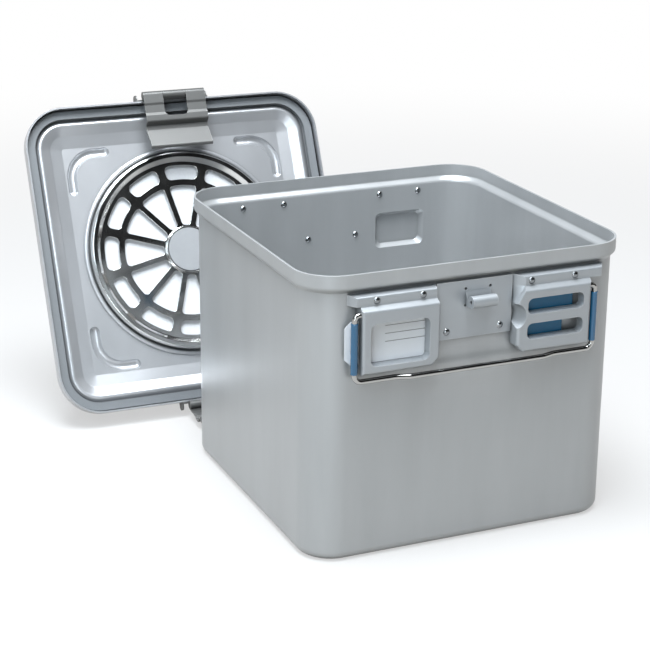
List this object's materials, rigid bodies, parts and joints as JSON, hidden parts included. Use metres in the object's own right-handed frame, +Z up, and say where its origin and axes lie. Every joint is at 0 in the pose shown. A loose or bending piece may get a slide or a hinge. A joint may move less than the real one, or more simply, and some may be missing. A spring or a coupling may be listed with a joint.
{
  "type": "sterilization container",
  "caption": "Square aluminium box with carrying bails, card and tag brackets, and a loose gasketed lid with a vented filter retainer and two over-centre latches, leaning open behind it.",
  "frame": {"origin": "middle of the box's flat underside, on the ground", "axes": "+Z up; -Y is the front end with the card holder; the lid leans behind the box on the +Y side; +X to the right seen from the front"},
  "size_m": [0.3876, 0.5035, 0.2947],
  "materials": {
    "box_aluminium": "satin anodised",
    "lid_aluminium": "satin anodised",
    "fitting_aluminium": "satin anodised",
    "rivet_steel": "polished",
    "polished_steel": "electropolished stainless steel",
    "latch_steel": "satin",
    "sleeve_plastic": "glossy blue",
    "tag_plastic": "satin blue",
    "seal_rubber": "grey silicone",
    "card": "coated card",
    "filter_paper": "nonwoven paper"
  },
  "bodies": {
    "container": {"tub": "box_aluminium", "front_catch_plate": "fitting_aluminium", "front_label_bracket": "fitting_aluminium", "front_slot_bracket": "fitting_aluminium", "front_spacers": "fitting_aluminium", "front_bracket_rivets": "rivet_steel", "front_plate_rivets": "rivet_steel", "back_catch_plate": "fitting_aluminium", "back_label_bracket": "fitting_aluminium", "back_slot_bracket": "fitting_aluminium", "back_spacers": "fitting_aluminium", "back_bracket_rivets": "rivet_steel", "back_plate_rivets": "rivet_steel"},
    "front_handle": {"front_bail": "polished_steel", "front_bail_sleeves": "sleeve_plastic"},
    "back_handle": {"back_bail": "polished_steel", "back_bail_sleeves": "sleeve_plastic"},
    "card": {"label_card": "card"},
    "tag_low": {"lower_tag": "tag_plastic"},
    "tag_up": {"upper_tag": "tag_plastic"},
    "lid": {"lid_pan": "lid_aluminium", "lid_seal": "seal_rubber", "vent_filter": "filter_paper", "vent_stud": "polished_steel", "upper_hinge_plate": "latch_steel", "upper_hinge_pin": "latch_steel", "lower_hinge_plate": "latch_steel", "lower_hinge_pin": "latch_steel", "lid_rivets": "polished_steel"},
    "retainer": {"retainer_plate": "polished_steel", "retainer_seal": "seal_rubber"},
    "button": {"release_button": "polished_steel"},
    "latch_up": {"upper_latch": "latch_steel"},
    "latch_low": {"lower_latch": "latch_steel"}
  },
  "joints": [
    {"name": "front_bail_hinge", "type": "hinge", "parent": "container", "child": "front_handle", "pos_m": [0, -0.1482, 0.212], "axis": [-1, 0, 0], "range_deg": [0, 90]},
    {"name": "back_bail_hinge", "type": "hinge", "parent": "container", "child": "back_handle", "pos_m": [0, 0.1482, 0.212], "axis": [1, 0, 0], "range_deg": [0, 90]},
    {"name": "card_slide", "type": "slide", "parent": "container", "child": "card", "axis": [-1, 0, 0], "range_m": [0, 0.075]},
    {"name": "lower_tag_slide", "type": "slide", "parent": "container", "child": "tag_low", "axis": [1, 0, 0], "range_m": [0, 0.066]},
    {"name": "upper_tag_slide", "type": "slide", "parent": "container", "child": "tag_up", "axis": [1, 0, 0], "range_m": [0, 0.07]},
    {"name": "lid_lift", "type": "slide", "parent": "container", "child": "lid", "axis": [0, 0.7071, 0.7071], "range_m": [0, 0.3]},
    {"name": "retainer_lift", "type": "slide", "parent": "lid", "child": "retainer", "axis": [-0.0235, -0.8985, 0.4384], "range_m": [0, 0.06]},
    {"name": "button_press", "type": "slide", "parent": "retainer", "child": "button", "axis": [0.0235, 0.8985, -0.4384], "range_m": [0, 0.0015], "stiffness_N_per_m": 1000, "springref_m": -0.001},
    {"name": "upper_latch_hinge", "type": "hinge", "parent": "lid", "child": "latch_up", "pos_m": [-0.08804, 0.33061, 0.2907], "axis": [-0.9997, 0.0262, 0], "range_deg": [0, 180]},
    {"name": "lower_latch_hinge", "type": "hinge", "parent": "lid", "child": "latch_low", "pos_m": [-0.09157, 0.19595, 0.0145], "axis": [0.9997, -0.0262, 0], "range_deg": [-124.44, 0]}
  ]
}
